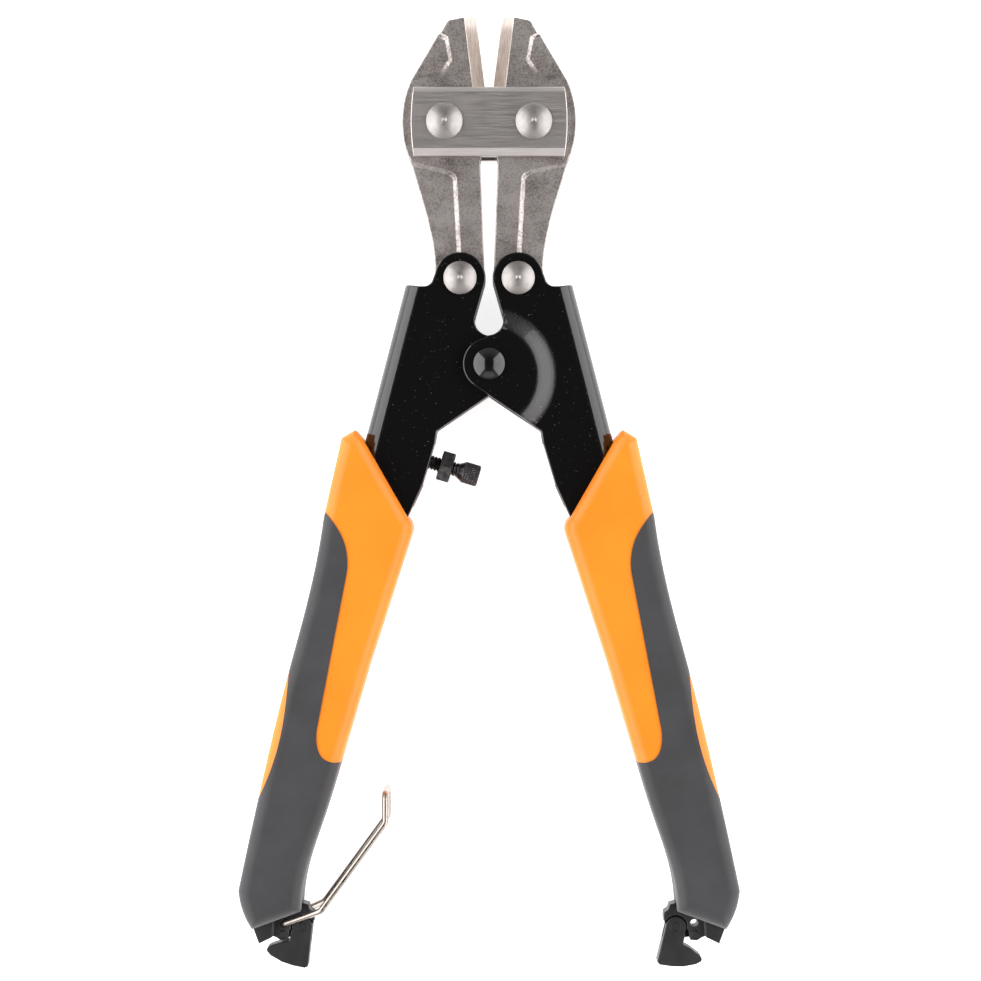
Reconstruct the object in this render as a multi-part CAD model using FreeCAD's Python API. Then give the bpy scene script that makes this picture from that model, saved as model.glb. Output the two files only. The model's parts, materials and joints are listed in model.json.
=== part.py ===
import FreeCAD, Part
import math
import os

# Small bolt cutters, lying flat with the jaws towards +Y, as they rest when slightly open.
# Millimetres. Z is the thickness of the tool. While it is built, the middle of the strap is at 0, 0, 0;
# at the end everything is moved so that the origin is below the middle of the whole tool.

V = FreeCAD.Vector

# ---- linkage: jaw pivots, link pivots and the centre pivot
jawPivotHalf = 9.59          # half the distance between the two jaw pivots
jawOpenDeg = 7.0             # how far each jaw stands open
jawArm = (-0.76, -33.66)     # jaw pivot to link pivot, on a closed left jaw
linkArm = 19.55              # link pivot to the centre pivot, on a handle

# ---- thicknesses, counted from the middle plane
jawHalf = 3.5
layerGap = 0.1               # free play between plates that slide on each other
strapThick = 3.0
sheetThick = 1.8             # pressed handle sheet
restGap = 0.35               # pivot rivet to the surface that the grips lie on
coreStep = 0.25              # core below the rubber
capHalf = 2.75
flangeHalf = 4.5             # thick outer end of the cap
tongueHalf = 1.0

# ---- fits
runningFit = 0.06            # radial, rivet shank in a bore that turns on it
openPivotFit = 0.25          # radial, right handle on the centre rivet: room for the opened linkage
threadFit = 0.05
socketGap = 0.25             # hook lever to its socket

# ---- strap
strapLength = 33.6
strapWidth = 14.9
strapBow = 0.6               # how much each end bulges
strapTopChamfer = 1.2
strapLowChamfer = 1.7

# ---- rivets: shank radius, head radius, head height
jawRivet = (2.6, 3.9, 2.1)
linkRivet = (2.1, 3.55, 1.9)
pivotRivet = (2.3, 3.35, 1.75)
dimpleRadius = 0.55
dimpleDepth = 0.3
spacerRadius = 4.2

# ---- jaw
jawTipY = 22.2
bladeRootY = 6.3
bladeGap = 0.02              # between each cutting edge and the middle when closed
bevelWidth = 2.6
rollGap = 0.05               # between the two rolling faces
rollSpanDeg = 24.0
tailRadius = 5.35
recessDepth = 0.55
recessSlope = 0.75           # width of the sloped border round a recess

# ---- handles, in a frame with the centre pivot at 0, 0
lugRadius = 5.5
hubRadius = 5.62
bendRadius = 3.4
joggleCentre = (0.5, -2.5)
joggleInner = 10.2
joggleOuter = 15.2

# ---- stop screw, square to the inner wall of the left handle
screwBase = (-12.75, -21.0)
screwDeg = -16.6
screwRadius = 1.6
screwInside = 3.4            # length behind the wall
screwHeadStart = 6.4
screwCone = 1.1
screwHeadLength = 3.5
screwHeadRadius = 2.35
nutStart = 2.2
nutThick = 2.8
nutFlats = 6.4
tabLength = (4.0, 5.2)       # inner wall, up and down from the screw

# ---- grips
rubberSkin = 2.2
gripFillet = 2.6
tangTop = -36.0
tangEnd = -94.0

# ---- end caps, hook levers and the wire bail
bailHole = (-44.2, -120.4)
wireRadius = 0.68
wireFit = 0.14               # radial, bail wire in its hole
wireStub = 0.6               # from the middle plane to where each end of the wire starts
wireStandOff = 0.3           # bail wire to the face of the cap
capPin = (-44.4, -122.85)
capPinRadius = 0.8
capPinProud = 0.15
capCorner = (-49.5, -124.6)
capNotch = (-46.6, -123.2)
leverHub = (-40.3, -121.2)
leverHubRadius = 2.2
tongueStep = 0.3             # tongue smaller than the lever's hub
leverSlotRadius = 3.7        # clears the cap's web, which closes the view between cap and lever
leverPinRadius = 0.9
leverOpenDeg = 19.5
bailRest = ((8.2, 3.3), (22.0, 22.2), (22.0, 28.4))   # bends of the bail, from its hole
bailHalfWidth = 8.0
bailBend = 1.7


def turned(point, degrees):
    c = math.cos(math.radians(degrees))
    s = math.sin(math.radians(degrees))
    return (point[0] * c - point[1] * s, point[0] * s + point[1] * c)


def flat(points, z=0.0):
    return [V(x, y, z) for x, y in points]


def polygon(points, low, high):
    """Solid between two heights over a closed outline of straight sides."""
    corners = flat(points, low)
    wire = Part.makePolygon(corners + [corners[0]])
    return Part.Face(wire).extrude(V(0, 0, high - low))


def prism(edges, low, high):
    face = Part.Face(Part.Wire(Part.__sortEdges__(edges)))
    face.translate(V(0, 0, low))
    return face.extrude(V(0, 0, high - low))


def cylinder(radius, low, high, centre=(0.0, 0.0)):
    return Part.makeCylinder(radius, high - low, V(centre[0], centre[1], low))


def line(a, b):
    return Part.makeLine(V(a[0], a[1], 0), V(b[0], b[1], 0))


def arc(a, through, b):
    return Part.Arc(V(a[0], a[1], 0), V(through[0], through[1], 0), V(b[0], b[1], 0)).toShape()


def curve(points):
    spline = Part.BSplineCurve()
    spline.interpolate(flat(points))
    return spline.toShape()


def around(centre, radius, degrees):
    x, y = turned((radius, 0), degrees)
    return (centre[0] + x, centre[1] + y)


def bothFaces(cutter):
    return [cutter, cutter.mirror(V(0, 0, 0), V(0, 0, 1))]


def mirrored(shape):
    return shape.mirror(V(0, 0, 0), V(1, 0, 0))


def only(shape):
    """The one solid of a shape, cleaned of seams between coplanar faces."""
    solids = shape.removeSplitter().Solids
    if len(solids) != 1:
        raise ValueError("expected one solid, found " + str(len(solids)))
    return solids[0]


# ---- positions that follow from the linkage
def linkPoint(openDeg):
    x, y = turned(jawArm, openDeg)
    return (-jawPivotHalf + x, y)


def centrePoint(openDeg):
    x, y = linkPoint(openDeg)
    return (0.0, y - math.sqrt(linkArm ** 2 - x ** 2))


restLink = linkPoint(jawOpenDeg)
restCentre = centrePoint(jawOpenDeg)
linkOnHandle = (restLink[0], restLink[1] - restCentre[1])
strapLow = jawHalf + layerGap
strapHigh = strapLow + strapThick
sheetLow = jawHalf + layerGap
sheetHigh = sheetLow + sheetThick
raisedLow = sheetHigh + layerGap
raisedHigh = raisedLow + sheetThick
pivotSeat = raisedHigh + layerGap
gripHalf = pivotSeat + pivotRivet[2] + restGap
coreHalf = gripHalf - coreStep
bailHoleRadius = wireRadius + wireFit


def rivet(sizes, seat, dimple=True):
    """Shank through the middle with a domed head on each side."""
    shank, head, height = sizes
    rim = height * 0.25
    top = seat + height
    inner = dimpleRadius if dimple else 0.0
    rise = height - rim
    ball = (head ** 2 + rise ** 2) / (2 * rise)
    side = head * 0.62
    middle = top - ball + math.sqrt(ball ** 2 - side ** 2)
    start = top - ball + math.sqrt(ball ** 2 - inner ** 2)
    edges = [
        Part.makeLine(V(0, 0, 0), V(shank, 0, 0)),
        Part.makeLine(V(shank, 0, 0), V(shank, 0, seat)),
        Part.makeLine(V(shank, 0, seat), V(head, 0, seat)),
        Part.makeLine(V(head, 0, seat), V(head, 0, seat + rim)),
        Part.Arc(V(head, 0, seat + rim), V(side, 0, middle), V(inner, 0, start)).toShape(),
    ]
    if dimple:
        edges.append(Part.makeLine(V(inner, 0, start), V(0, 0, start - dimpleDepth)))
    edges.append(Part.makeLine(V(0, 0, start - (dimpleDepth if dimple else 0.0)), V(0, 0, 0)))
    half = Part.Face(Part.Wire(edges)).revolve(V(0, 0, 0), V(0, 0, 1), 360)
    other = half.mirror(V(0, 0, 0), V(0, 0, 1))
    return only(half.fuse(other))


# ---- strap
def strap():
    x = strapLength / 2 - strapBow
    y = strapWidth / 2
    edges = [
        line((-x, y), (x, y)),
        arc((x, y), (x + strapBow, 0), (x, -y)),
        line((x, -y), (-x, -y)),
        arc((-x, -y), (-x - strapBow, 0), (-x, y)),
    ]
    plate = prism(edges, strapLow, strapHigh)
    for side, chamfer in ((1, strapTopChamfer), (-1, strapLowChamfer)):
        wedge = Part.makePolygon([
            V(-strapLength, side * y, strapHigh - chamfer * 0.7),
            V(-strapLength, side * (y + 1), strapHigh + 1),
            V(-strapLength, side * (y - chamfer), strapHigh + 1),
            V(-strapLength, side * (y - chamfer), strapHigh),
            V(-strapLength, side * y, strapHigh - chamfer * 0.7),
        ])
        plate = plate.cut(Part.Face(wedge).extrude(V(2 * strapLength, 0, 0)))
    for side in (-1, 1):
        plate = plate.cut(cylinder(jawRivet[0], strapLow, strapHigh, (side * jawPivotHalf, 0)))
    return only(plate)


# ---- jaw, closed, with its pivot at 0, 0; the other jaw is at +X
def recess(outline):
    """Cutter for a forged recess whose border slopes down to its floor."""
    over = 0.2
    floor = inset(outline, recessSlope)
    brim = inset(outline, -over * recessSlope / recessDepth)
    wires = []
    for points, z in ((floor, jawHalf - recessDepth), (brim, jawHalf + over)):
        corners = flat(points, z)
        wires.append(Part.makePolygon(corners + [corners[0]]))
    return Part.makeLoft(wires, True, True)


def jaw():
    edge = jawPivotHalf - bladeGap
    roll = jawPivotHalf - rollGap
    rollEnd = around((0, 0), roll, -rollSpanDeg)
    tail = jawArm
    tailIn = around(tail, tailRadius, 4)
    tailOut = around(tail, tailRadius, 172)
    tailLow = around(tail, tailRadius, 268)
    nose = (edge - 1.25, jawTipY)
    edges = [
        line((roll, 0), (edge, bladeRootY)),
        line((edge, bladeRootY), (edge, jawTipY - 0.05)),
        line((edge, jawTipY - 0.05), nose),
        line(nose, (4.2, 21.85)),
        arc((4.2, 21.85), (3.2, 21.55), (2.7, 20.9)),
        line((2.7, 20.9), (1.6, 19.45)),
        line((1.6, 19.45), (0.75, 18.9)),
        line((0.75, 18.9), (-5.9, 10.2)),
        arc((-5.9, 10.2), (-9.05, 1.6), (-8.2, -7.9)),
        curve([(-8.2, -7.9), (-7.35, -12.9), (-6.2, -20.1), tailOut]),
        arc(tailOut, tailLow, tailIn),
        line(tailIn, (6.6, -9.4)),
        line((6.6, -9.4), rollEnd),
        arc(rollEnd, around((0, 0), roll, -rollSpanDeg / 2), (roll, 0)),
    ]
    body = prism(edges, -jawHalf, jawHalf)
    bevel = Part.makePolygon([
        V(edge, bladeRootY, 0),
        V(edge + 1, bladeRootY, 0),
        V(edge + 1, bladeRootY, jawHalf + 1),
        V(edge - bevelWidth, bladeRootY, jawHalf + 1),
        V(edge - bevelWidth, bladeRootY, jawHalf),
        V(edge, bladeRootY, 0),
    ])
    bevelCut = Part.Face(bevel).extrude(V(0, jawTipY, 0))
    upper = recess([(-3.4, 22.4), (1.45, 19.5), (2.95, 18.3), (3.25, 13.1), (0.5, 10.0), (-12.0, 10.05)])
    lowerEnd = tail[1] + lugRadius - 1.0
    lower = recess([(-12.0, -6.2), (-8.0, -7.6), (-0.4, -10.3), (0.75, -11.1), (1.1, -12.2),
                    (0.0, lowerEnd), (-12.0, lowerEnd)])
    for cutter in (bevelCut, upper, lower):
        for one in bothFaces(cutter):
            body = body.cut(one)
    body = body.cut(cylinder(jawRivet[0] + runningFit, -jawHalf, jawHalf))
    body = body.cut(cylinder(linkRivet[0] + runningFit, -jawHalf, jawHalf, tail))
    return only(body)


# ---- handle sheet, left side, centre pivot at 0, 0
def screwFrame(along, across):
    x, y = turned((along, across), screwDeg)
    return (screwBase[0] + x, screwBase[1] + y)


outerTop = (-18.0, 17.2)
outerLow = (-26.75, -16.6)


def handleOutline():
    b = linkOnHandle
    lugStart = around(b, lugRadius, 170)
    lugEnd = around(b, lugRadius, -12)
    throatLow = (0.0, hubRadius + 0.5)
    throatSide = (-3.05, throatLow[1] + 3.6)
    hubStart = around((0, 0), hubRadius, 80)
    hubEnd = around((0, 0), hubRadius, -55.8)
    return [
        line(outerTop, (-15.1, 16.75)),
        line((-15.1, 16.75), (-13.9, 16.75)),
        arc((-13.9, 16.75), (-12.75, 17.2), (-12.1, 18.3)),
        line((-12.1, 18.3), lugStart),
        arc(lugStart, around(b, lugRadius, 80), lugEnd),
        line(lugEnd, throatSide),
        arc(throatSide, (-2.1, throatLow[1] + 0.95), throatLow),
        line(throatLow, hubStart),
        arc(hubStart, around((0, 0), hubRadius, 10), hubEnd),
        line(hubEnd, (-11.2, -14.4)),
        line((-11.2, -14.4), screwFrame(0, tabLength[0])),
        line(screwFrame(0, tabLength[0]), screwFrame(0, -tabLength[1])),
        line(screwFrame(0, -tabLength[1]), (-17.6, -33.4)),
        line((-17.6, -33.4), (-20.6, tangTop - 2)),
        line((-20.6, tangTop - 2), (-36.6, tangEnd)),
        line((-36.6, tangEnd), (-42.4, tangEnd)),
        line((-42.4, tangEnd), (-30.9, tangTop + 2)),
        line((-30.9, tangTop + 2), outerLow),
        line(outerLow, outerTop),
    ]


def bendEdges(shape):
    """The two long outer edges that the sheet bends round."""
    found = []
    middle = V((outerTop[0] + outerLow[0]) / 2, (outerTop[1] + outerLow[1]) / 2, 0)
    for e in shape.Edges:
        at = e.CenterOfMass
        if abs(abs(at.z) - sheetHigh) < 1e-6 and math.hypot(at.x - middle.x, at.y - middle.y) < 0.5:
            found.append(e)
    return found


def channel():
    """Two cheeks and the outer and inner walls that join them, before any joggle or hole."""
    outline = handleOutline()
    body = prism(outline, -sheetHigh, sheetHigh)
    body = body.makeFillet(bendRadius, bendEdges(body))
    run = (outerLow[0] - outerTop[0], outerLow[1] - outerTop[1])
    length = math.hypot(*run)
    across = (-run[1] / length * sheetThick, run[0] / length * sheetThick)
    far = 1.4
    top = (outerTop[0] + across[0] - run[0] * 0.5, outerTop[1] + across[1] - run[1] * 0.5)
    low = (outerTop[0] + across[0] + run[0] * far, outerTop[1] + across[1] + run[1] * far)
    pocket = polygon([top, low, (30, low[1]), (30, top[1])], -sheetLow, sheetLow)
    tab = polygon(
        [screwFrame(0.5, tabLength[0]), screwFrame(0.5, -tabLength[1]),
         screwFrame(-sheetThick, -tabLength[1]), screwFrame(-sheetThick, tabLength[0])],
        -sheetLow, sheetLow)
    return body.cut(pocket.cut(tab))


def leftHandle():
    body = channel()
    hole = cylinder(pivotRivet[0], -sheetHigh, sheetHigh)
    link = cylinder(linkRivet[0], -sheetHigh, sheetHigh, linkOnHandle)
    body = body.cut(hole).cut(link)
    body = body.cut(alongScrew(cylinder(screwRadius + threadFit, -2 * sheetThick, 2 * sheetThick)))
    return only(body)


def slope(high, low):
    """Soft step from one height to the other, level at both ends."""
    half = (joggleInner + joggleOuter) / 2
    bezier = Part.BezierCurve()
    bezier.setPoles([V(joggleInner, 0, high), V(half, 0, high), V(half, 0, low), V(joggleOuter, 0, low)])
    return bezier.toShape()


def joggled():
    """Front cheek round the centre pivot, raised by one sheet so that it clears the other handle."""
    blank = prism(handleOutline(), 0, raisedHigh + 1)
    x, y = joggleCentre
    profile = [
        Part.makeLine(V(0, 0, raisedHigh), V(0, 0, raisedLow)),
        Part.makeLine(V(0, 0, raisedLow), V(joggleInner, 0, raisedLow)),
        slope(raisedLow, sheetLow),
        Part.makeLine(V(joggleOuter, 0, sheetLow), V(joggleOuter, 0, sheetHigh)),
        slope(raisedHigh, sheetHigh),
        Part.makeLine(V(joggleInner, 0, raisedHigh), V(0, 0, raisedHigh)),
    ]
    dish = Part.Face(Part.Wire(profile)).revolve(V(0, 0, 0), V(0, 0, 1), 360)
    dish.translate(V(x, y, 0))
    return dish.common(blank)


def rightHandle():
    """Made on the left side like the other, then mirrored by the caller."""
    body = channel().cut(cylinder(joggleOuter, -sheetHigh, sheetHigh, joggleCentre))
    raised = joggled()
    for part in bothFaces(raised):
        body = body.fuse(part)
    body = body.cut(cylinder(pivotRivet[0] + openPivotFit, -raisedHigh, raisedHigh))
    body = body.cut(cylinder(linkRivet[0], -sheetHigh, sheetHigh, linkOnHandle))
    return only(body)


def spacer():
    ring = cylinder(spacerRadius, -sheetLow, sheetLow)
    return only(ring.cut(cylinder(pivotRivet[0], -sheetLow, sheetLow)))


# ---- stop screw and its nut
def alongScrew(shape):
    """Lays a shape made along +Z on the stop screw's axis."""
    moved = shape.copy()
    moved.rotate(V(0, 0, 0), V(0, 1, 0), 90)
    moved.rotate(V(0, 0, 0), V(0, 0, 1), screwDeg)
    moved.translate(V(screwBase[0], screwBase[1], 0))
    return moved


def stopScrew():
    end = screwHeadStart + screwCone + screwHeadLength
    shank = cylinder(screwRadius, -screwInside, screwHeadStart)
    cone = Part.makeCone(screwRadius, screwHeadRadius, screwCone, V(0, 0, screwHeadStart))
    head = cylinder(screwHeadRadius, screwHeadStart + screwCone, end)
    return only(alongScrew(shank.fuse(cone).fuse(head)))


def lockNut():
    corner = nutFlats / math.sqrt(3)
    points = [turned((corner, 0), 60 * i + 30) for i in range(6)]
    nut = polygon(points, nutStart, nutStart + nutThick)
    nut = nut.cut(cylinder(screwRadius, nutStart, nutStart + nutThick))
    return only(alongScrew(nut))


# ---- grips
gripPeak = (-28.7, -14.2)
gripBottomIn = (-40.4, -117.3)
gripBottomOut = (-50.8, -121.1)
gripInnerBend = (-25.8, -65.0)
gripOuterTop = (-35.45, -33.0)
gripHeel = (-53.7, -112.8)
gripInnerRun = [gripInnerBend, (-31.8, -85.4), (-35.7, -98.0), (-39.4, -109.5), gripBottomIn]
gripHeelRun = [gripBottomOut, (-52.7, -117.4), gripHeel]
gripOuterRun = [gripHeel, (-51.3, -101.5), (-49.2, -92.0), (-43.0, -66.2), (-39.7, -54.0), gripOuterTop]


def gripOutline():
    return [
        line(gripPeak, (-26.9, -16.4)),
        line((-26.9, -16.4), (-17.5, -32.8)),
        arc((-17.5, -32.8), (-16.5, -34.4), (-16.5, -36.2)),
        line((-16.5, -36.2), gripInnerBend),
        curve(gripInnerRun),
        line(gripBottomIn, gripBottomOut),
        curve(gripHeelRun),
        curve(gripOuterRun),
        line(gripOuterTop, (-31.6, -15.9)),
        line((-31.6, -15.9), gripPeak),
    ]


def inset(points, distance):
    """A closed outline of straight sides, moved inwards all round; its points run clockwise."""
    moved = []
    count = len(points)
    for i in range(count):
        a, b, c = points[i - 1], points[i], points[(i + 1) % count]
        before = V(b[0] - a[0], b[1] - a[1], 0).normalize()
        after = V(c[0] - b[0], c[1] - b[1], 0).normalize()
        half = V(before.y + after.y, -before.x - after.x, 0).normalize()
        reach = distance / max(0.3, half.dot(V(before.y, -before.x, 0)))
        moved.append((b[0] + half.x * reach, b[1] + half.y * reach))
    return moved


def rubberRegion(low, high):
    edges = [
        line((-60, -31.6), (-35.3, -31.6)),
        curve([(-35.3, -31.6), (-33.1, -34.2), (-31.1, -37.8), (-30.3, -41.3), (-30.4, -44.8)]),
        line((-30.4, -44.8), (-36.7, -77.8)),
        curve([(-36.7, -77.8), (-36.8, -81.3), (-35.6, -84.2), (-33.0, -85.3), (-30.0, -84.6)]),
        line((-30.0, -84.6), (-30.0, -130.0)),
        line((-30.0, -130.0), (-60.0, -130.0)),
        line((-60.0, -130.0), (-60, -31.6)),
    ]
    return prism(edges, low, high)


def windowRegion(low, high, grown=0.0):
    """Opening on the outer side of the rubber, where the core shows."""
    bow = [(-42.9, -66.0), (-43.3, -71.5), (-43.9, -76.2), (-44.9, -81.2), (-46.6, -86.7), (-49.6, -93.4)]
    bow = [(x + grown, y) for x, y in bow]
    top = (-60, bow[0][1])
    bottom = (-60, bow[-1][1])
    edges = [line(top, bow[0]), curve(bow), line(bow[-1], bottom), line(bottom, top)]
    return prism(edges, low, high)


def rounded(half):
    """The whole grip as one block with its long edges rounded."""
    block = prism(gripOutline(), -half, half)
    edges = [e for e in block.Edges if abs(abs(e.CenterOfMass.z) - half) < 1e-6]
    return block.makeFillet(gripFillet, edges)


def gripInner():
    """What the rubber is moulded over: the grip's outline, smaller by the skin."""
    outline = [(-28.6, -20.0), (-18.0, -37.0)] + gripInnerRun + gripHeelRun + gripOuterRun[1:]
    half = gripHalf - rubberSkin
    block = polygon(inset(outline, rubberSkin), -half, half)
    return block.fuse(windowRegion(-half, half, rubberSkin).common(rounded(coreHalf)))


def filledHandle():
    return prism(handleOutline(), -sheetHigh, sheetHigh)


def capPlug():
    return polygon([(-48.4, -122.0), (-42.3, -119.6), (-41.4, -106.0), (-46.5, -104.0)], -capHalf, capHalf)


def gripCore():
    skin = rubberRegion(-20, 20).cut(windowRegion(-20, 20))
    core = rounded(coreHalf).cut(skin).fuse(gripInner())
    core = core.cut(filledHandle()).cut(capPlug())
    return only(core)


def gripRubber():
    skin = rubberRegion(-20, 20).cut(windowRegion(-20, 20))
    rubber = rounded(gripHalf).common(skin).cut(gripInner())
    rubber = rubber.cut(filledHandle()).cut(capPlug())
    return only(rubber)


# ---- end cap with a tongue that carries the hook lever
def endCap():
    x, y = leverHub
    edges = [gripBottomOut, capCorner, capNotch, (-45.7, -123.6), (-44.9, -124.15), (-43.3, -124.05),
             (-43.0, y - 0.7), (x, y), (x + 2.4, y + 0.8), (x + 2.7, y + 1.9), (x + 2.6, y + 3.1),
             (x + 1.7, y + 3.7), (x + 1.4, y + 4.8), (x + 0.3, y + 5.1), (-42.0, y + 5.4), (-46.0, -118.0)]
    body = polygon(edges, -capHalf, capHalf)
    flange = polygon([gripBottomOut, capCorner, capNotch, (-46.3, -118.0), (-49.0, -118.0)], -flangeHalf, flangeHalf)
    body = body.fuse(flange).cut(rounded(gripHalf)).fuse(capPlug())
    socket = cylinder(leverHubRadius + socketGap, tongueHalf, capHalf, leverHub)
    for one in bothFaces(socket):
        body = body.cut(one)
    web = polygon([(-43.6, y + 1.7), (x - 0.7, y + 1.7), (x - 0.7, y - 1.3), (x - 1.9, y - 2.6), (-43.6, y - 2.3)],
                  -tongueHalf, tongueHalf)
    tongue = cylinder(leverHubRadius - tongueStep, -tongueHalf, tongueHalf, leverHub)
    body = body.fuse(web).fuse(tongue)
    body = body.cut(cylinder(leverPinRadius + runningFit, -tongueHalf, tongueHalf, leverHub))
    body = body.cut(cylinder(bailHoleRadius, -capHalf, capHalf, bailHole))
    body = body.cut(cylinder(capPinRadius, -capHalf, capHalf, capPin))
    return only(body)


def hookLever():
    """Closed, on the left side."""
    x, y = leverHub
    points = [(x, y), (x - 2.45, y - 0.8), (x - 2.7, y - 3.1), (x - 4.4, y - 3.3), (x - 6.9, y - 4.1),
              (x - 7.6, y - 4.6), (x - 7.7, y - 5.2), (x - 6.8, y - 6.2), (x - 4.4, y - 7.6),
              (x - 2.0, y - 8.4), (x + 0.5, y - 8.9), (x + 1.3, y - 8.6), (x + leverHubRadius, y)]
    body = polygon(points, -capHalf, capHalf).fuse(cylinder(leverHubRadius, -capHalf, capHalf, leverHub))
    slot = cylinder(leverSlotRadius, -tongueHalf - layerGap, tongueHalf + layerGap, leverHub)
    body = body.cut(slot)
    body = body.cut(cylinder(leverPinRadius, -capHalf, capHalf, leverHub))
    return only(body)


def pin(radius, half, centre):
    return cylinder(radius, -half, half, centre)


# ---- wire bail: one bent wire, its two ends in the cap's hole
def bail():
    near = capHalf + wireRadius + wireStandOff
    path = [(0, 0, wireStub), (0, 0, near)]
    path.append((bailRest[0][0], bailRest[0][1], bailHalfWidth))
    path.append((bailRest[1][0], bailRest[1][1], bailHalfWidth))
    path.append((bailRest[2][0], bailRest[2][1], bailHalfWidth))
    path += [(x, y, -z) for x, y, z in reversed(path)]
    points = [V(x + bailHole[0], y + bailHole[1], z) for x, y, z in path]
    edges = []
    start = points[0]
    for before, corner, after in zip(points, points[1:], points[2:]):
        a = (before - corner).normalize()
        b = (after - corner).normalize()
        turn = math.pi - a.getAngle(b)
        room = 0.45 * min((before - corner).Length, (after - corner).Length)
        radius = min(bailBend, room / math.tan(turn / 2))
        reach = radius * math.tan(turn / 2)
        enter = corner + a * reach
        leave = corner + b * reach
        inward = (a + b).normalize()
        middle = corner + inward * (radius / math.cos(turn / 2) - radius)
        edges.append(Part.makeLine(start, enter))
        edges.append(Part.Arc(enter, middle, leave).toShape())
        start = leave
    edges.append(Part.makeLine(start, points[-1]))
    route = Part.Wire(edges)
    circle = Part.Wire(Part.makeCircle(wireRadius, points[0], points[1] - points[0]))
    return Part.Wire(route).makePipeShell([circle], True, True).Solids[0]


def placeJaw(shape):
    moved = shape.copy()
    moved.rotate(V(0, 0, 0), V(0, 0, 1), jawOpenDeg)
    moved.translate(V(-jawPivotHalf, 0, 0))
    return moved


def placeHandle(shape):
    moved = shape.copy()
    moved.translate(V(restCentre[0], restCentre[1], 0))
    return moved


def at(shape, x, y):
    moved = shape.copy()
    moved.translate(V(x, y, 0))
    return moved


def allParts():
    parts = {}
    plate = strap()
    parts["strap_front"] = plate
    parts["strap_rear"] = plate.mirror(V(0, 0, 0), V(0, 0, 1))
    big = rivet(jawRivet, strapHigh)
    parts["jaw_rivet_left"] = at(big, -jawPivotHalf, 0)
    parts["jaw_rivet_right"] = at(big, jawPivotHalf, 0)
    leftJaw = placeJaw(jaw())
    parts["jaw_left"] = leftJaw
    parts["jaw_right"] = mirrored(leftJaw)
    small = at(rivet(linkRivet, sheetHigh), restLink[0], restLink[1])
    parts["link_rivet_left"] = small
    parts["link_rivet_right"] = mirrored(small)
    parts["handle_left"] = placeHandle(leftHandle())
    parts["handle_right"] = mirrored(placeHandle(rightHandle()))
    parts["pivot_rivet"] = placeHandle(rivet(pivotRivet, pivotSeat, False))
    parts["pivot_spacer"] = placeHandle(spacer())
    parts["stop_screw"] = placeHandle(stopScrew())
    parts["lock_nut"] = placeHandle(lockNut())
    lever = hookLever()
    opened = lever.copy()
    opened.rotate(V(leverHub[0], leverHub[1], 0), V(0, 0, 1), leverOpenDeg)
    pairs = {
        "grip_core": gripCore(),
        "grip_rubber": gripRubber(),
        "end_cap": endCap(),
        "lever_pin": pin(leverPinRadius, capHalf, leverHub),
        "cap_pin": pin(capPinRadius, capHalf + capPinProud, capPin),
    }
    for name, shape in pairs.items():
        left = placeHandle(shape)
        parts[name + "_left"] = left
        parts[name + "_right"] = mirrored(left)
    parts["hook_lever_left"] = placeHandle(lever)
    parts["hook_lever_right"] = mirrored(placeHandle(opened))
    parts["wire_bail"] = placeHandle(bail())
    return parts


def originShift(parts):
    box = Part.makeCompound(list(parts.values())).optimalBoundingBox(False)
    return V(-(box.XMin + box.XMax) / 2, -(box.YMin + box.YMax) / 2, -box.ZMin)


def main():
    os.makedirs("parts", exist_ok=True)
    parts = allParts()
    shift = originShift(parts)
    for name, shape in parts.items():
        shape.translate(shift)
        shape.exportStep("parts/" + name + ".step")
        print(name, "valid" if shape.isValid() else "NOT VALID", len(shape.Solids), round(shape.Volume, 1))


if __name__ == "__main__":
    main()
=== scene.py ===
import json
import math
import bpy
from mathutils import Matrix, Vector


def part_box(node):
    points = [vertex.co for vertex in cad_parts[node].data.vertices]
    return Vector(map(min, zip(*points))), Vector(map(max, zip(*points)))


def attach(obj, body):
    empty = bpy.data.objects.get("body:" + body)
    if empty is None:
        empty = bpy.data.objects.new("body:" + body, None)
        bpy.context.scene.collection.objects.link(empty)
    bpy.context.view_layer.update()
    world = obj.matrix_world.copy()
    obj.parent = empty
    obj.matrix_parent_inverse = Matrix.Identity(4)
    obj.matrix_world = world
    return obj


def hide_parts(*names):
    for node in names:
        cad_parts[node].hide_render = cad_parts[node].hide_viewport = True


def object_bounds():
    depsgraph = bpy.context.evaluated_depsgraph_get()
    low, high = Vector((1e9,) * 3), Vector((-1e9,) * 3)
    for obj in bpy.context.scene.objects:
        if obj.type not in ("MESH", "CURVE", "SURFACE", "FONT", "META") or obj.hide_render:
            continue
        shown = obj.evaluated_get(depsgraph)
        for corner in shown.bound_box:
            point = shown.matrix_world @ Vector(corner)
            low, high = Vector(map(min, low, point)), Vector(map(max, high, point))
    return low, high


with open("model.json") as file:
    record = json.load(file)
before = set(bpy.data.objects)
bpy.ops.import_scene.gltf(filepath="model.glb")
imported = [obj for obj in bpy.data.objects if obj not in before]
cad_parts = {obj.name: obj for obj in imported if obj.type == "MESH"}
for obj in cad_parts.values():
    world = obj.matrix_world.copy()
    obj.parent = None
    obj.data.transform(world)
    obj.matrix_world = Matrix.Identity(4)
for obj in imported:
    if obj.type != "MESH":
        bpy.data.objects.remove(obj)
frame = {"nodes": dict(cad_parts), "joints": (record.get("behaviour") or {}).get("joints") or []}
cadLow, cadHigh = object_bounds()
nodes = frame["nodes"]
joints = {j["name"]: j for j in frame["joints"]}
mm = 0.001
sides = ("left", "right")
print("frame loaded:", len(nodes), "CAD nodes")


def srgb(code):  # hex to linear colour
    parts = [int(code[i:i + 2], 16) / 255 for i in (1, 3, 5)]
    linear = [c / 12.92 if c <= 0.04045 else ((c + 0.055) / 1.055) ** 2.4 for c in parts]
    return (*linear, 1.0)


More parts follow.
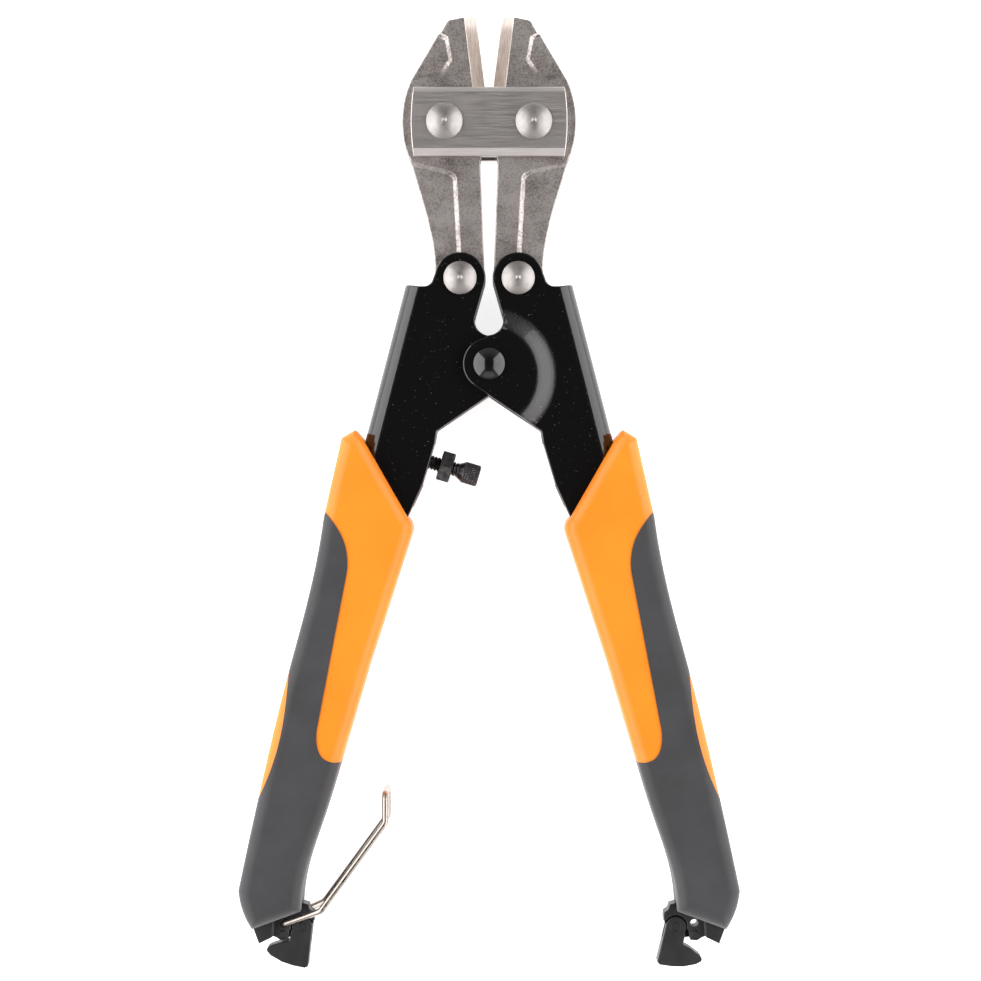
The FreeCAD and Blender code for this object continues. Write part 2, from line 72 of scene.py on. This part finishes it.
def addNode(tree, kind, settings=None, links=None):
    # settings are a node's own options or its sockets' values, links are socket: output that feeds
    # it
    node = tree.nodes.new(kind)
    for key, value in (settings or {}).items():
        if isinstance(key, str) and hasattr(node, key):
            setattr(node, key, value)
        else:
            node.inputs[key].default_value = value
    for key, output in (links or {}).items():
        tree.links.new(output, node.inputs[key])
    return node


def perMetre(sizeMm):  # texture scale that repeats about every sizeMm
    return 1000.0 / sizeMm


def newMaterial(name, settings):
    material = bpy.data.materials.new(name)
    material.use_nodes = True
    tree = material.node_tree
    tree.nodes.clear()
    shader = addNode(tree, "ShaderNodeBsdfPrincipled", settings)
    addNode(tree, "ShaderNodeOutputMaterial", None, {"Surface": shader.outputs[0]})
    place = addNode(tree, "ShaderNodeTexCoord")
    return material, tree, shader, place.outputs["Object"]


def ramp(tree, source, stops):  # stops are position: grey or colour
    node = addNode(tree, "ShaderNodeValToRGB", None, {"Fac": source})
    band = node.color_ramp
    while len(band.elements) < len(stops):
        band.elements.new(0.5)
    for element, (position, value) in zip(band.elements, stops):
        element.position = position
        element.color = value if isinstance(value, tuple) else (value, value, value, 1.0)
    return node.outputs["Color"]


def setMaterial(obj, *materials):
    obj.data.materials.clear()
    for material in materials:
        obj.data.materials.append(material)


def softenEdges(obj, widthMm, segments=2, angle=32, mergeFlats=True):
    # breaks sharp edges, as tumbling or a tool's radius does on the real piece
    weld = obj.modifiers.new("weld", "WELD")
    weld.merge_threshold = 0.002 * mm
    if mergeFlats:
        flats = obj.modifiers.new("flats", "DECIMATE")
        flats.decimate_type = "DISSOLVE"
        flats.angle_limit = math.radians(0.6)
        flats.delimit = {"MATERIAL"}
    bevel = obj.modifiers.new("edgeBreak", "BEVEL")
    bevel.width = widthMm * mm
    bevel.segments = segments
    bevel.limit_method = "ANGLE"
    bevel.angle_limit = math.radians(angle)
    bevel.use_clamp_overlap = False
    bevel.miter_outer = "MITER_ARC"
    normals = obj.modifiers.new("evenShading", "WEIGHTED_NORMAL")
    normals.keep_sharp = False
    for face in obj.data.polygons:
        face.use_smooth = True


# materials

forgedLook = {"base": "#b8b1ae", "dark": "#58524f", "warm": "#8a817d", "grainMm": 0.45,
              "pitMm": 0.22}


def forgedSteel():
    # drop-forged chrome vanadium steel, tumbled: dull grey with brownish scale in the low spots
    # and fine pits
    look = forgedLook
    material, tree, shader, place = newMaterial("forgedSteelTumbled",
                                                {"Metallic": 1.0, "Roughness": 0.42})
    cloud = addNode(tree, "ShaderNodeTexNoise", {"Scale": perMetre(5.0), "Detail": 6.0,
                                                 "Roughness": 0.62},
                    {"Vector": place})
    grain = addNode(tree, "ShaderNodeTexNoise", {"Scale": perMetre(look["grainMm"]), "Detail": 8.0,
                                                 "Roughness": 0.7}, {"Vector": place})
    pits = addNode(tree, "ShaderNodeTexVoronoi", {"Scale": perMetre(look["pitMm"] * 3)},
                   {"Vector": place})
    mixed = addNode(tree, "ShaderNodeMath", {"operation": "MULTIPLY_ADD", 1: 0.55},
                    {0: cloud.outputs["Fac"], 2: grain.outputs["Fac"]})
    tone = ramp(tree, mixed.outputs[0], [(0.52, srgb(look["dark"])), (0.68, srgb(look["warm"])),
                                         (0.86, srgb(look["base"]))])
    tree.links.new(tone, shader.inputs["Base Color"])
    rough = ramp(tree, grain.outputs["Fac"], [(0.3, 0.52), (0.7, 0.3)])
    tree.links.new(rough, shader.inputs["Roughness"])
    pitDepth = ramp(tree, pits.outputs["Distance"], [(0.0, 0.0), (0.16, 1.0)])
    height = addNode(tree, "ShaderNodeMath", {"operation": "MULTIPLY_ADD", 1: 0.35},
                     {0: pitDepth, 2: grain.outputs["Fac"]})
    bump = addNode(tree, "ShaderNodeBump", {"Strength": 0.55, "Distance": 0.12 * mm},
                   {"Height": height.outputs[0]})
    tree.links.new(bump.outputs[0], shader.inputs["Normal"])
    return material


groundLook = {"low": "#a8988e", "mid": "#c9bfb8", "high": "#dcd5cf", "scratchMm": 0.3,
              "scratchDeg": -38}


def groundSteel():
    # the same steel, surface ground to a cutting bevel: brighter and warmer, fine parallel
    # scratches
    material, tree, shader, place = newMaterial("groundCuttingBevel",
                                                {"Metallic": 1.0, "Roughness": 0.33})
    turn = math.radians(groundLook["scratchDeg"])
    slanted = addNode(tree, "ShaderNodeMapping", {"Rotation": (0, 0, turn), "Scale": (1.0, 0.06, 1.0)},
                      {"Vector": place})
    lines = addNode(tree, "ShaderNodeTexNoise", {"Scale": perMetre(groundLook["scratchMm"]),
                                                 "Detail": 4.0, "Roughness": 0.7},
                    {"Vector": slanted.outputs[0]})
    tone = ramp(tree, lines.outputs["Fac"], [(0.3, srgb(groundLook["low"])),
                                             (0.52, srgb(groundLook["mid"])),
                                             (0.7, srgb(groundLook["high"]))])
    tree.links.new(tone, shader.inputs["Base Color"])
    bump = addNode(tree, "ShaderNodeBump", {"Strength": 0.35, "Distance": 0.03 * mm},
                   {"Height": lines.outputs["Fac"]})
    tree.links.new(bump.outputs[0], shader.inputs["Normal"])
    return material


strapLook = {"low": "#c3bcb9", "mid": "#d2cbc8", "high": "#dfd9d6", "lineMm": 0.32, "cloudMm": 7.0}


def brushedSteel():
    # cold-rolled strap steel, brushed along its length: satin grey with long fine lines
    material, tree, shader, place = newMaterial("strapSteelBrushed",
                                                {"Metallic": 1.0, "Roughness": 0.36})
    drawn = addNode(tree, "ShaderNodeMapping", {"Scale": (0.035, 1.0, 0.3)}, {"Vector": place})
    lines = addNode(tree, "ShaderNodeTexNoise", {"Scale": perMetre(strapLook["lineMm"]),
                                                 "Detail": 5.0, "Roughness": 0.75},
                    {"Vector": drawn.outputs[0]})
    cloud = addNode(tree, "ShaderNodeTexNoise", {"Scale": perMetre(strapLook["cloudMm"]),
                                                 "Detail": 3.0}, {"Vector": place})
    both = addNode(tree, "ShaderNodeMath", {"operation": "MULTIPLY_ADD", 1: 0.35},
                   {0: cloud.outputs["Fac"], 2: lines.outputs["Fac"]})
    tone = ramp(tree, both.outputs[0], [(0.4, srgb(strapLook["low"])),
                                        (0.68, srgb(strapLook["mid"])),
                                        (0.95, srgb(strapLook["high"]))])
    tree.links.new(tone, shader.inputs["Base Color"])
    rough = ramp(tree, lines.outputs["Fac"], [(0.3, 0.44), (0.7, 0.28)])
    tree.links.new(rough, shader.inputs["Roughness"])
    bump = addNode(tree, "ShaderNodeBump", {"Strength": 0.3, "Distance": 0.03 * mm},
                   {"Height": lines.outputs["Fac"]})
    tree.links.new(bump.outputs[0], shader.inputs["Normal"])
    return material


rivetLook = {"base": "#a39e9c", "dentMm": 1.1}


def brightSteel():
    # rivet steel, headed and barrel polished: bright, with small dents that break the reflection
    material, tree, shader, place = newMaterial("rivetSteelPolished",
                                                {"Metallic": 1.0, "Roughness": 0.45,
                                                                       "Base Color": srgb(rivetLook["base"])})
    dents = addNode(tree, "ShaderNodeTexNoise", {"Scale": perMetre(rivetLook["dentMm"]),
                                                 "Detail": 5.0, "Roughness": 0.6},
                    {"Vector": place})
    rough = ramp(tree, dents.outputs["Fac"], [(0.35, 0.52), (0.65, 0.38)])
    tree.links.new(rough, shader.inputs["Roughness"])
    bump = addNode(tree, "ShaderNodeBump", {"Strength": 0.25, "Distance": 0.08 * mm},
                   {"Height": dents.outputs["Fac"]})
    tree.links.new(bump.outputs[0], shader.inputs["Normal"])
    return material


paintLook = {"base": "#0b0a0a", "worn": "#0d0c0c", "dust": "#6d6762", "peelMm": 1.6,
             "dustMm": 0.42, "creaseMm": 0.45, "creaseDepth": 3.0}


def glossPaint(name, wrinkleAt=None):
    # black stoving enamel on pressed sheet: deep gloss, faint orange peel, a little dust; creased
    # where it was drawn
    material, tree, shader, place = newMaterial(name,
                                                {"Base Color": srgb(paintLook["base"]),
                                                 "Roughness": 0.16,
                                                       "IOR": 1.5, "Coat Weight": 0.5,
                                                       "Coat Roughness": 0.06})
    peel = addNode(tree, "ShaderNodeTexNoise", {"Scale": perMetre(paintLook["peelMm"]),
                                                "Detail": 3.0}, {"Vector": place})
    dust = addNode(tree, "ShaderNodeTexNoise", {"Scale": perMetre(paintLook["dustMm"]),
                                                "Detail": 2.0, "Roughness": 0.5},
                   {"Vector": place})
    specks = ramp(tree, dust.outputs["Fac"], [(0.0, srgb(paintLook["base"])),
                                              (0.72, srgb(paintLook["worn"])),
                                              (0.78, srgb(paintLook["dust"]))])
    tree.links.new(specks, shader.inputs["Base Color"])
    height = peel.outputs["Fac"]
    depth = 0.05
    if wrinkleAt is not None:
        centre, inner, outer = wrinkleAt
        away = addNode(tree, "ShaderNodeVectorMath", {"operation": "MULTIPLY", 1: (1, 1, 0)},
                       {0: place})
        reach = addNode(tree, "ShaderNodeVectorMath", {"operation": "DISTANCE", 1: centre},
                        {0: away.outputs[0]})
        span = addNode(tree, "ShaderNodeMapRange", {"From Min": inner, "From Max": outer},
                       {"Value": reach.outputs["Value"]})
        band = ramp(tree, span.outputs[0], [(0.0, 0.0), (0.25, 1.0), (0.75, 1.0), (1.0, 0.0)])
        creases = addNode(tree, "ShaderNodeTexNoise",
                          {"Scale": perMetre(paintLook["creaseMm"]), "Detail": 6.0,
                                                       "Roughness": 0.65}, {"Vector": place})
        inBand = addNode(tree, "ShaderNodeMath", {"operation": "MULTIPLY"},
                         {0: band, 1: creases.outputs["Fac"]})
        total = addNode(tree, "ShaderNodeMath", {"operation": "MULTIPLY_ADD",
                                                 1: paintLook["creaseDepth"]},
                        {0: inBand.outputs[0], 2: peel.outputs["Fac"]})
        height = total.outputs[0]
        depth = 0.07
    bump = addNode(tree, "ShaderNodeBump", {"Strength": 0.5, "Distance": depth * mm},
                   {"Height": height})
    tree.links.new(bump.outputs[0], shader.inputs["Normal"])
    return material


oxideLook = {"base": "#3a3839", "worn": "#625f60", "wearMm": 0.9}


def blackOxide():
    # steel screw, chemically blackened and oiled: dark with a dull metal shine on its edges
    material, tree, shader, place = newMaterial("screwSteelBlackOxide",
                                                {"Metallic": 0.85, "Roughness": 0.34})
    wear = addNode(tree, "ShaderNodeTexNoise", {"Scale": perMetre(oxideLook["wearMm"]),
                                                "Detail": 5.0}, {"Vector": place})
    tone = ramp(tree, wear.outputs["Fac"], [(0.4, srgb(oxideLook["base"])),
                                            (0.75, srgb(oxideLook["worn"]))])
    tree.links.new(tone, shader.inputs["Base Color"])
    rough = ramp(tree, wear.outputs["Fac"], [(0.3, 0.36), (0.7, 0.22)])
    tree.links.new(rough, shader.inputs["Roughness"])
    return material


orangeLook = {"low": "#f08412", "high": "#f58b18", "cloudMm": 16.0, "grainMm": 0.3}


def orangePlastic():
    # injection moulded polypropylene with a fine spark-eroded texture: strong colour, soft sheen
    material, tree, shader, place = newMaterial("polypropyleneMoulded",
                                                {"Roughness": 0.42, "IOR": 1.49,
                                                                         "Subsurface Weight": 0.06,
                                                                         "Subsurface Scale": 0.6 * mm})
    shader.inputs["Subsurface Radius"].default_value = (1.0, 0.45, 0.12)
    cloud = addNode(tree, "ShaderNodeTexNoise", {"Scale": perMetre(orangeLook["cloudMm"]),
                                                 "Detail": 3.0}, {"Vector": place})
    tone = ramp(tree, cloud.outputs["Fac"], [(0.35, srgb(orangeLook["low"])),
                                             (0.65, srgb(orangeLook["high"]))])
    tree.links.new(tone, shader.inputs["Base Color"])
    grain = addNode(tree, "ShaderNodeTexNoise", {"Scale": perMetre(orangeLook["grainMm"]),
                                                 "Detail": 4.0, "Roughness": 0.6},
                    {"Vector": place})
    bump = addNode(tree, "ShaderNodeBump", {"Strength": 0.22, "Distance": 0.03 * mm},
                   {"Height": grain.outputs["Fac"]})
    tree.links.new(bump.outputs[0], shader.inputs["Normal"])
    return material


rubberLook = {"low": "#2b2a2c", "high": "#353437", "cloudMm": 11.0, "grainMm": 0.28}


def darkRubber():
    # overmoulded thermoplastic rubber, etched mould: dark warm grey, matt, with a dusty bloom
    material, tree, shader, place = newMaterial("overmouldedRubber", {"Roughness": 0.62, "IOR": 1.5,
                                                                      "Sheen Weight": 0.25,
                                                                      "Sheen Roughness": 0.5})
    cloud = addNode(tree, "ShaderNodeTexNoise", {"Scale": perMetre(rubberLook["cloudMm"]),
                                                 "Detail": 5.0, "Roughness": 0.55},
                    {"Vector": place})
    tone = ramp(tree, cloud.outputs["Fac"], [(0.35, srgb(rubberLook["low"])),
                                             (0.68, srgb(rubberLook["high"]))])
    tree.links.new(tone, shader.inputs["Base Color"])
    grain = addNode(tree, "ShaderNodeTexNoise", {"Scale": perMetre(rubberLook["grainMm"]),
                                                 "Detail": 3.0, "Roughness": 0.7},
                    {"Vector": place})
    rough = ramp(tree, grain.outputs["Fac"], [(0.3, 0.7), (0.7, 0.5)])
    tree.links.new(rough, shader.inputs["Roughness"])
    bump = addNode(tree, "ShaderNodeBump", {"Strength": 0.35, "Distance": 0.04 * mm},
                   {"Height": grain.outputs["Fac"]})
    tree.links.new(bump.outputs[0], shader.inputs["Normal"])
    return material


nylonLook = {"low": "#1d1c1e", "high": "#29282a", "cloudMm": 3.5, "grainMm": 0.35}


def blackPlastic():
    # moulded glass-filled nylon: near black, satin, with faint flow clouds
    material, tree, shader, place = newMaterial("nylonMoulded", {"Roughness": 0.4, "IOR": 1.53})
    cloud = addNode(tree, "ShaderNodeTexNoise", {"Scale": perMetre(nylonLook["cloudMm"]),
                                                 "Detail": 4.0}, {"Vector": place})
    tone = ramp(tree, cloud.outputs["Fac"], [(0.35, srgb(nylonLook["low"])),
                                             (0.7, srgb(nylonLook["high"]))])
    tree.links.new(tone, shader.inputs["Base Color"])
    grain = addNode(tree, "ShaderNodeTexNoise", {"Scale": perMetre(nylonLook["grainMm"]),
                                                 "Detail": 3.0}, {"Vector": place})
    bump = addNode(tree, "ShaderNodeBump", {"Strength": 0.2, "Distance": 0.03 * mm},
                   {"Height": grain.outputs["Fac"]})
    tree.links.new(bump.outputs[0], shader.inputs["Normal"])
    return material


wireLook = {"base": "#a89f97", "lineMm": 1.5}


def brightWire():
    # hard-drawn plated spring wire: bright, with the die's fine lines along it
    material, tree, shader, place = newMaterial("wireDrawnPlated",
                                                {"Metallic": 1.0, "Roughness": 0.18,
                                                                    "Base Color": srgb(wireLook["base"])})
    lines = addNode(tree, "ShaderNodeTexNoise", {"Scale": perMetre(wireLook["lineMm"]),
                                                 "Detail": 4.0}, {"Vector": place})
    rough = ramp(tree, lines.outputs["Fac"], [(0.35, 0.32), (0.65, 0.18)])
    tree.links.new(rough, shader.inputs["Roughness"])
    return material


forged = forgedSteel()
ground = groundSteel()
brushed = brushedSteel()
bright = brightSteel()
orange = orangePlastic()
rubber = darkRubber()
nylon = blackPlastic()
oxide = blackOxide()
wire = brightWire()
pivotLow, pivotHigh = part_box("pivot_rivet")
pivotAt = (pivotLow + pivotHigh) / 2
paint = glossPaint("enamelStoved")
joggle = {"aside": -0.5, "below": -2.5, "inner": 9.8, "outer": 15.6}   # mm from the centre pivot
joggleAt = (pivotAt.x + joggle["aside"] * mm, pivotAt.y + joggle["below"] * mm, 0.0)
paintDrawn = glossPaint("enamelStovedOverJoggle", (joggleAt, joggle["inner"] * mm,
                                                   joggle["outer"] * mm))
print("materials made")


# stage, light and camera

stageLook = {"cameraMm": 650.0, "lensMm": 110.2, "asideMm": 0.3, "upMm": 0.3, "floorMm": 4000.0,
             "floorGlow": 0.75}


def floor():
    half = stageLook["floorMm"] * mm
    mesh = bpy.data.meshes.new("floor")
    mesh.from_pydata([(-half, -half, 0), (half, -half, 0), (half, half, 0), (-half, half, 0)], [],
                     [(0, 1, 2, 3)])
    obj = bpy.data.objects.new("floor", mesh)
    obj.location.z = -0.02 * mm
    bpy.context.scene.collection.objects.link(obj)
    # a frosted sheet lit from below, which gives the pale even ground
    material, tree, shader, place = newMaterial("frostedLightTable",
                                                {"Base Color": srgb("#f2f2f2"), "Roughness": 0.9,
                                                                      "Specular IOR Level": 0.1,
                                                                      "Emission Color": srgb("#ffffff"),
                                                                      "Emission Strength": stageLook["floorGlow"]})
    obj.data.materials.append(material)


def lightWall(name, place, aim, size, brightness):
    light = bpy.data.lights.new(name, "AREA")
    light.shape = "RECTANGLE"
    light.size, light.size_y = size
    light.energy = brightness * math.pi * size[0] * size[1]
    obj = bpy.data.objects.new(name, light)
    obj.location = place
    obj.rotation_mode = "QUATERNION"
    obj.rotation_quaternion = Vector(aim).to_track_quat("-Z", "Z" if aim[2] == 0 else "Y")
    obj.visible_camera = False
    bpy.context.scene.collection.objects.link(obj)


studioLook = {"wallAway": 0.62, "wallLong": 1.4, "wallTall": 1.4, "wallFoot": 0.05,
              "left": 2.9, "right": 2.6, "foot": 0.7, "roomGlow": 0.5}


def studio():
    look = studioLook
    side = (look["wallLong"], look["wallTall"])
    middle = look["wallFoot"] + look["wallTall"] / 2
    lightWall("wallLeft", (-look["wallAway"], 0, middle), (1, 0, 0), side, look["left"])
    lightWall("wallRight", (look["wallAway"], 0, middle), (-1, 0, 0), side, look["right"])
    lightWall("wallFoot", (0, -look["wallAway"] * 1.5, middle), (0, 1, 0), (1.0, 0.8), look["foot"])
    world = bpy.data.worlds.new("room")
    world.use_nodes = True
    tree = world.node_tree
    tree.nodes.clear()
    place = addNode(tree, "ShaderNodeTexCoord")
    height = addNode(tree, "ShaderNodeSeparateXYZ", None, {0: place.outputs["Generated"]})
    glow = ramp(tree, height.outputs["Z"], [(0.0, 0.9), (0.45, 0.75), (0.9, 0.12), (1.0, 0.05)])
    back = addNode(tree, "ShaderNodeBackground", {"Strength": look["roomGlow"]}, {"Color": glow})
    addNode(tree, "ShaderNodeOutputWorld", None, {"Surface": back.outputs[0]})
    bpy.context.scene.world = world


def camera():
    data = bpy.data.cameras.new("camera")
    data.lens = stageLook["lensMm"]
    data.sensor_width = 36.0
    obj = bpy.data.objects.new("camera", data)
    middle = (cadLow + cadHigh) / 2
    obj.location = (middle.x + stageLook["asideMm"] * mm, middle.y + stageLook["upMm"] * mm,
                    middle.z + stageLook["cameraMm"] * mm)
    bpy.context.scene.collection.objects.link(obj)
    bpy.context.scene.camera = obj


floor()
studio()
camera()
bpy.context.scene.view_settings.view_transform = "Standard"
print("stage ready")


# finishes on the CAD pieces

def paintFaces(obj, index, test):
    for face in obj.data.polygons:
        if test(face.center, face.normal):
            face.material_index = index


edgeLook = {"jaw": 0.25, "strap": 0.18, "handle": 0.3, "cap": 0.2, "lever": 0.25,
            "capPin": 0.15}   # mm


def finishJaws():
    for side in sides:
        jaw = nodes["jaw_" + side]
        setMaterial(jaw, forged, ground)
        out = -1 if side == "left" else 1
        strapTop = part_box("strap_front")[1].y
        paintFaces(jaw, 1, lambda at, n: at.y > strapTop - 2 * mm
                   and 0.3 < abs(n.z) < 0.95 and n.x * -out > 0.5)
        softenEdges(jaw, edgeLook["jaw"], mergeFlats=False)


def finishPlates():
    for end in ("front", "rear"):
        setMaterial(nodes["strap_" + end], brushed)
        softenEdges(nodes["strap_" + end], edgeLook["strap"])
    for side in sides:
        handle = nodes["handle_" + side]
        setMaterial(handle, paint if side == "left" else paintDrawn)
        softenEdges(handle, edgeLook["handle"], angle=40)
        for name in ("jaw_rivet_", "link_rivet_"):
            setMaterial(nodes[name + side], bright)
    setMaterial(nodes["pivot_rivet"], paint)
    setMaterial(nodes["pivot_spacer"], oxide)


def finishGrips():
    for side in sides:
        setMaterial(nodes["grip_core_" + side], orange)
        setMaterial(nodes["grip_rubber_" + side], rubber)
        setMaterial(nodes["end_cap_" + side], nylon)
        setMaterial(nodes["hook_lever_" + side], nylon)
        setMaterial(nodes["lever_pin_" + side], nylon)
        setMaterial(nodes["cap_pin_" + side], nylon)
        for name, width in (("end_cap_", "cap"), ("hook_lever_", "lever"), ("cap_pin_", "capPin")):
            softenEdges(nodes[name + side], edgeLook[width])
    setMaterial(nodes["wire_bail"], wire)


finishJaws()
finishPlates()
finishGrips()
print("CAD pieces finished")


# stop screw: rolled thread, coned and knurled head

screwLook = {"pitch": 0.7, "threadDepth": 0.28, "shankR": 1.6, "headR": 2.33, "coneLength": 1.1,
             "headLength": 3.5, "knurls": 26, "knurlDepth": 0.16, "endChamfer": 0.35,
             "around": 208, "step": 0.06}


def lathe(name, rings, aroundCount, closeEnds=True):
    # rings are functions of the turn angle that give (radius, along), in mm
    vertices, faces = [], []
    for ring in rings:
        for i in range(aroundCount):
            angle = 2 * math.pi * i / aroundCount
            radius, along = ring(angle)
            vertices.append((along * mm, radius * math.cos(angle) * mm,
                             radius * math.sin(angle) * mm))
    for r in range(len(rings) - 1):
        for i in range(aroundCount):
            j = (i + 1) % aroundCount
            a, b = r * aroundCount, (r + 1) * aroundCount
            faces.append((a + i, b + i, b + j, a + j))
    if closeEnds:
        last = (len(rings) - 1) * aroundCount
        faces.append(tuple(range(aroundCount)))
        faces.append(tuple(last + i for i in reversed(range(aroundCount))))
    mesh = bpy.data.meshes.new(name)
    mesh.from_pydata(vertices, [], faces)
    mesh.validate()
    for face in mesh.polygons:
        face.use_smooth = len(face.vertices) == 4
    obj = bpy.data.objects.new(name, mesh)
    bpy.context.scene.collection.objects.link(obj)
    return obj


def onScrewAxis(obj, base, axis):
    turn = Vector((1, 0, 0)).rotation_difference(axis).to_matrix().to_4x4()
    obj.matrix_world = Matrix.Translation(base) @ turn


def threadedScrew():
    look = screwLook
    axis = Vector(joints["stop_screw_travel"]["axis"]).normalized()
    base = Vector(joints["lock_nut_turn"]["pos_m"])
    reach = [(Vector(v.co) - base).dot(axis) / mm for v in nodes["stop_screw"].data.vertices]
    start, end = min(reach), max(reach)
    headStart = end - look["headLength"]
    coneStart = headStart - look["coneLength"]
    rings = []
    along = start

    def threadRing(x, fade):
        def ring(angle):
            turns = (x / look["pitch"] - angle / (2 * math.pi)) % 1.0
            crest = abs(turns * 2 - 1)
            cut = look["threadDepth"] * min(1.0, max(0.0, crest * 1.35 - 0.12)) * fade
            return look["shankR"] - cut, x
        return ring

    def headRing(x, radius, knurl):
        def ring(angle):
            left = math.sin(look["knurls"] * angle + x * 5.2)
            right = math.sin(look["knurls"] * angle - x * 5.2)
            dip = look["knurlDepth"] * knurl * (0.5 - 0.5 * max(left, right))
            return radius - dip, x
        return ring

    rings.append(lambda angle, x=start: (look["shankR"] - look["endChamfer"], x))
    while along < coneStart - look["step"]:
        along += look["step"]
        rings.append(threadRing(along, min(1.0, (coneStart - along) / 0.5)))
    rings.append(lambda angle, x=coneStart: (look["shankR"], x))
    rings.append(headRing(headStart - 0.1, look["headR"] - 0.12, 0))
    rings.append(headRing(headStart + 0.1, look["headR"], 0))
    count = int(look["headLength"] / (look["step"] * 2))
    for k in range(1, count):
        x = headStart + 0.1 + (look["headLength"] - 0.5) * k / count
        rings.append(headRing(x, look["headR"], 1.0))
    rings.append(headRing(end - 0.35, look["headR"], 0))
    rings.append(headRing(end - 0.12, look["headR"] - 0.1, 0))
    rings.append(headRing(end, look["headR"] - 0.35, 0))
    screw = lathe("stopScrewThreaded", rings, look["around"])
    onScrewAxis(screw, base, axis)
    setMaterial(screw, oxide)
    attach(screw, "stop_screw")
    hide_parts("stop_screw")


nutLook = {"flats": 6.4, "bore": 1.62, "chamferDeg": 30.0, "around": 96, "step": 0.14}


def chamferedNut():
    look = nutLook
    axis = Vector(joints["lock_nut_turn"]["axis"]).normalized()
    base = Vector(joints["lock_nut_turn"]["pos_m"])
    reach = [(Vector(v.co) - base).dot(axis) / mm for v in nodes["lock_nut"].data.vertices]
    start, end = min(reach), max(reach)
    slope = 1 / math.tan(math.radians(look["chamferDeg"]))

    def hexRing(x, reduce=0.0):
        def ring(angle):
            sector = (angle + math.pi / 6) % (math.pi / 3) - math.pi / 6
            corner = look["flats"] / 2 / math.cos(sector)
            inwards = min(x - start, end - x)
            return min(corner, look["flats"] / 2 * 0.985 + inwards * slope) - reduce, x
        return ring

    def boreRing(x, radius):
        return lambda angle: (radius, x)

    steps = max(8, int((end - start) / look["step"]))
    rings = [boreRing(start, look["bore"] + 0.15)]
    rings += [hexRing(start + (end - start) * k / steps) for k in range(steps + 1)]
    rings += [boreRing(end, look["bore"] + 0.15), boreRing(end - 0.2, look["bore"]),
              boreRing(start + 0.2, look["bore"]), boreRing(start, look["bore"] + 0.15)]
    nut = lathe("lockNutChamfered", rings, look["around"], closeEnds=False)
    for face in nut.data.polygons:
        face.use_smooth = False
    onScrewAxis(nut, base, axis)
    setMaterial(nut, oxide)
    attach(nut, "lock_nut")
    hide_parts("lock_nut")


threadedScrew()
chamferedNut()
print("screw and nut made")
